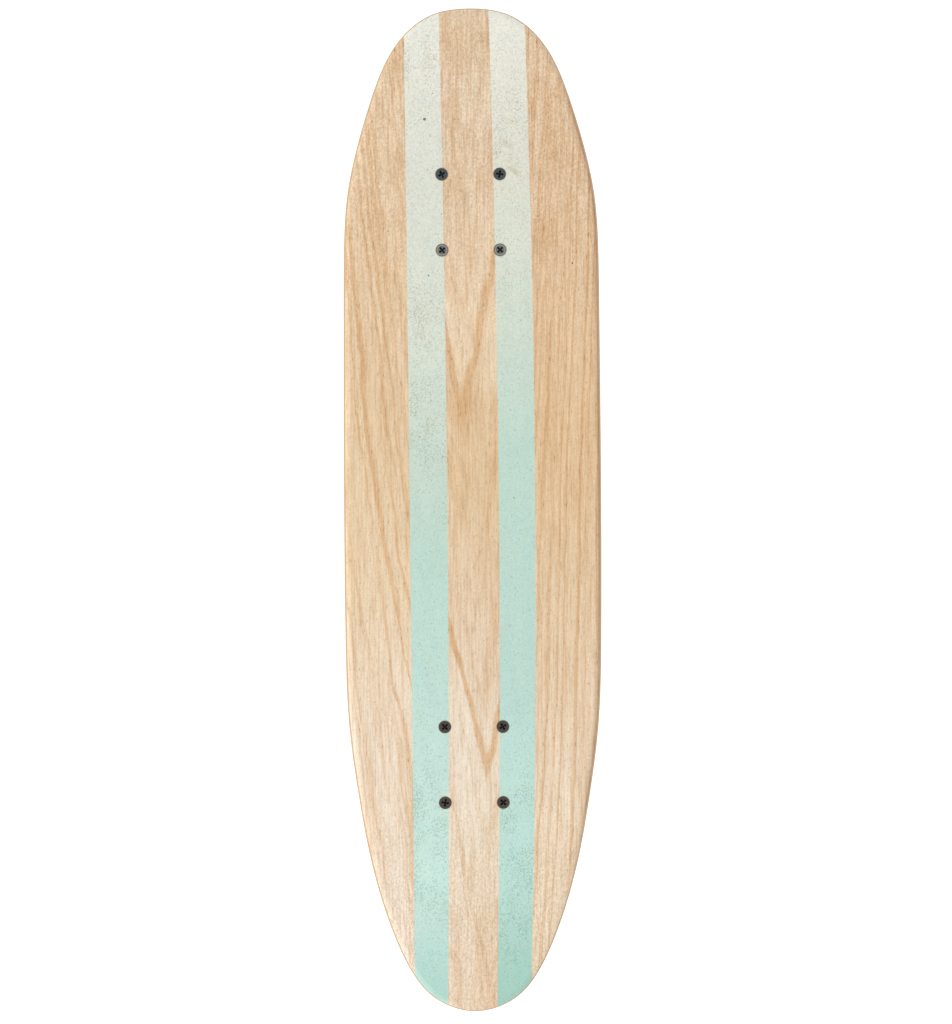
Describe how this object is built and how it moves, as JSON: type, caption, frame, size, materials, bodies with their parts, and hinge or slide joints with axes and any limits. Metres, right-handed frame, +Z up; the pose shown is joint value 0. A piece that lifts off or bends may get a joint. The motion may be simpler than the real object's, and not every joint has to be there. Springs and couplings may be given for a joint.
{
  "type": "skateboard",
  "caption": "Flat wooden cruiser skateboard with rounded-edge laminated deck, painted stripes, kingpin trucks and urethane wheels on ball bearings.",
  "frame": {"origin": "on the ground under the middle of the deck: centre of the bounding box in X and Y, and the floor that the wheels stand on in Z", "axes": "+Y along the deck towards the nose, +X to the rider's right across the deck, +Z up"},
  "size_m": [0.1838, 0.716, 0.0925],
  "materials": {
    "veneer": "satin clear coat over oak face veneer, two painted stripes on the top face",
    "core_ply": "satin, sanded edge of maple plies",
    "riser_rubber": "matt",
    "cast_alloy": "satin, as cast and tumbled",
    "zinc_steel": "zinc plated",
    "black_steel": "black oxide, satin",
    "bearing_steel": "ground and polished",
    "bearing_shield": "satin stamped steel",
    "cage_nylon": "moulded nylon",
    "nylon": "moulded nylon ring",
    "pivot_urethane": "moulded urethane",
    "bushing_urethane": "poured urethane, slightly glossy",
    "wheel_urethane": "poured urethane, satin tread"
  },
  "bodies": {
    "deck": {"deck_top_veneer": "veneer", "deck_core_plies": "core_ply", "deck_bottom_veneer": "veneer", "truck_bolts": "black_steel", "truck_nuts": "black_steel", "truck_nut_inserts": "nylon", "kingpin_nut_inserts": "nylon", "front_riser_pad": "riser_rubber", "front_baseplate": "cast_alloy", "front_pivot_cup": "pivot_urethane", "front_kingpin": "zinc_steel", "front_kingpin_nut": "zinc_steel", "front_upper_washer": "zinc_steel", "front_lower_washer": "zinc_steel", "front_upper_bushing": "bushing_urethane", "front_lower_bushing": "bushing_urethane", "rear_riser_pad": "riser_rubber", "rear_baseplate": "cast_alloy", "rear_pivot_cup": "pivot_urethane", "rear_kingpin": "zinc_steel", "rear_kingpin_nut": "zinc_steel", "rear_upper_washer": "zinc_steel", "rear_lower_washer": "zinc_steel", "rear_upper_bushing": "bushing_urethane", "rear_lower_bushing": "bushing_urethane"},
    "front_hanger": {"front_hanger": "cast_alloy", "front_axle": "zinc_steel", "front_axle_nuts": "zinc_steel", "front_axle_nut_inserts": "nylon", "front_speed_washers": "zinc_steel", "front_bearing_spacers": "zinc_steel", "front_bearing_inner_rings": "bearing_steel"},
    "front_left_wheel": {"front_left_wheel": "wheel_urethane", "front_left_bearing_outer_rings": "bearing_steel", "front_left_bearing_shields": "bearing_shield"},
    "front_left_balls": {"front_left_bearing_balls": "bearing_steel", "front_left_bearing_cages": "cage_nylon"},
    "front_right_wheel": {"front_right_wheel": "wheel_urethane", "front_right_bearing_outer_rings": "bearing_steel", "front_right_bearing_shields": "bearing_shield"},
    "front_right_balls": {"front_right_bearing_balls": "bearing_steel", "front_right_bearing_cages": "cage_nylon"},
    "rear_hanger": {"rear_hanger": "cast_alloy", "rear_axle": "zinc_steel", "rear_axle_nuts": "zinc_steel", "rear_axle_nut_inserts": "nylon", "rear_speed_washers": "zinc_steel", "rear_bearing_spacers": "zinc_steel", "rear_bearing_inner_rings": "bearing_steel"},
    "rear_left_wheel": {"rear_left_wheel": "wheel_urethane", "rear_left_bearing_outer_rings": "bearing_steel", "rear_left_bearing_shields": "bearing_shield"},
    "rear_left_balls": {"rear_left_bearing_balls": "bearing_steel", "rear_left_bearing_cages": "cage_nylon"},
    "rear_right_wheel": {"rear_right_wheel": "wheel_urethane", "rear_right_bearing_outer_rings": "bearing_steel", "rear_right_bearing_shields": "bearing_shield"},
    "rear_right_balls": {"rear_right_bearing_balls": "bearing_steel", "rear_right_bearing_cages": "cage_nylon"}
  },
  "joints": [
    {"name": "front_steer", "type": "hinge", "parent": "deck", "child": "front_hanger", "pos_m": [0, 0.1898, 0.04612], "axis": [0, 0.9176, 0.3976], "range_deg": [-12, 12], "stiffness_Nm_per_rad": 40, "deforming": ["front_upper_bushing", "front_lower_bushing"]},
    {"name": "front_left_wheel_spin", "type": "hinge", "parent": "front_hanger", "child": "front_left_wheel", "pos_m": [-0.064, 0.208, 0.0295], "axis": [1, 0, 0], "continuous": true},
    {"name": "front_left_balls_spin", "type": "hinge", "parent": "front_hanger", "child": "front_left_balls", "pos_m": [-0.064, 0.208, 0.0295], "axis": [1, 0, 0], "continuous": true},
    {"name": "front_right_wheel_spin", "type": "hinge", "parent": "front_hanger", "child": "front_right_wheel", "pos_m": [0.064, 0.208, 0.0295], "axis": [1, 0, 0], "continuous": true},
    {"name": "front_right_balls_spin", "type": "hinge", "parent": "front_hanger", "child": "front_right_balls", "pos_m": [0.064, 0.208, 0.0295], "axis": [1, 0, 0], "continuous": true},
    {"name": "rear_steer", "type": "hinge", "parent": "deck", "child": "rear_hanger", "pos_m": [0, -0.1593, 0.04612], "axis": [0, -0.9176, 0.3976], "range_deg": [-12, 12], "stiffness_Nm_per_rad": 40, "deforming": ["rear_upper_bushing", "rear_lower_bushing"]},
    {"name": "rear_left_wheel_spin", "type": "hinge", "parent": "rear_hanger", "child": "rear_left_wheel", "pos_m": [-0.064, -0.1775, 0.0295], "axis": [1, 0, 0], "continuous": true},
    {"name": "rear_left_balls_spin", "type": "hinge", "parent": "rear_hanger", "child": "rear_left_balls", "pos_m": [-0.064, -0.1775, 0.0295], "axis": [1, 0, 0], "continuous": true},
    {"name": "rear_right_wheel_spin", "type": "hinge", "parent": "rear_hanger", "child": "rear_right_wheel", "pos_m": [0.064, -0.1775, 0.0295], "axis": [1, 0, 0], "continuous": true},
    {"name": "rear_right_balls_spin", "type": "hinge", "parent": "rear_hanger", "child": "rear_right_balls", "pos_m": [0.064, -0.1775, 0.0295], "axis": [1, 0, 0], "continuous": true}
  ],
  "couplings": [
    {"joint": "front_left_balls_spin", "follows": "front_left_wheel_spin", "ratio": 0.63},
    {"joint": "front_right_balls_spin", "follows": "front_right_wheel_spin", "ratio": 0.63},
    {"joint": "rear_left_balls_spin", "follows": "rear_left_wheel_spin", "ratio": 0.63},
    {"joint": "rear_right_balls_spin", "follows": "rear_right_wheel_spin", "ratio": 0.63}
  ]
}
